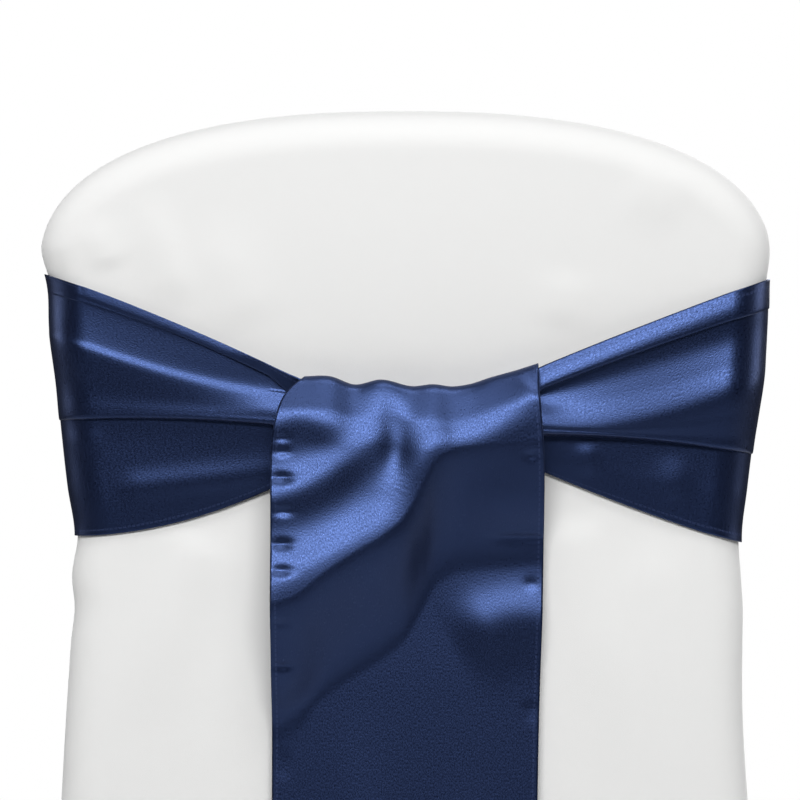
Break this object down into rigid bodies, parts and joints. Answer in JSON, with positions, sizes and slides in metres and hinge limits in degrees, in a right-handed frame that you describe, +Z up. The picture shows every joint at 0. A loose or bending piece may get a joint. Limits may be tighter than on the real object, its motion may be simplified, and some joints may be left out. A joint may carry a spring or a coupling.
{
  "type": "chair cover with sash",
  "caption": "Floor-length fitted chair cover with a rounded back, side skirts and a satin sash tied round its back; hollow, held up under its top.",
  "frame": {"origin": "underside of the cover's top edge, in the middle of the chair back's thickness, where the chair's top rail holds the cover up", "axes": "+Z up, +Y towards the front of the seat, +X to the right of someone who looks at the tied sash from behind the chair"},
  "size_m": [0.4578, 0.5295, 0.9251],
  "materials": {
    "white_cloth": "plain-woven white polyester, matt",
    "navy_satin": "navy blue satin with a soft sheen"
  },
  "bodies": {
    "root": {"back_panel": "white_cloth", "inside_panel": "white_cloth", "seat_panel": "white_cloth", "left_skirt": "white_cloth", "right_skirt": "white_cloth", "sash": "navy_satin"}
  },
  "joints": []
}
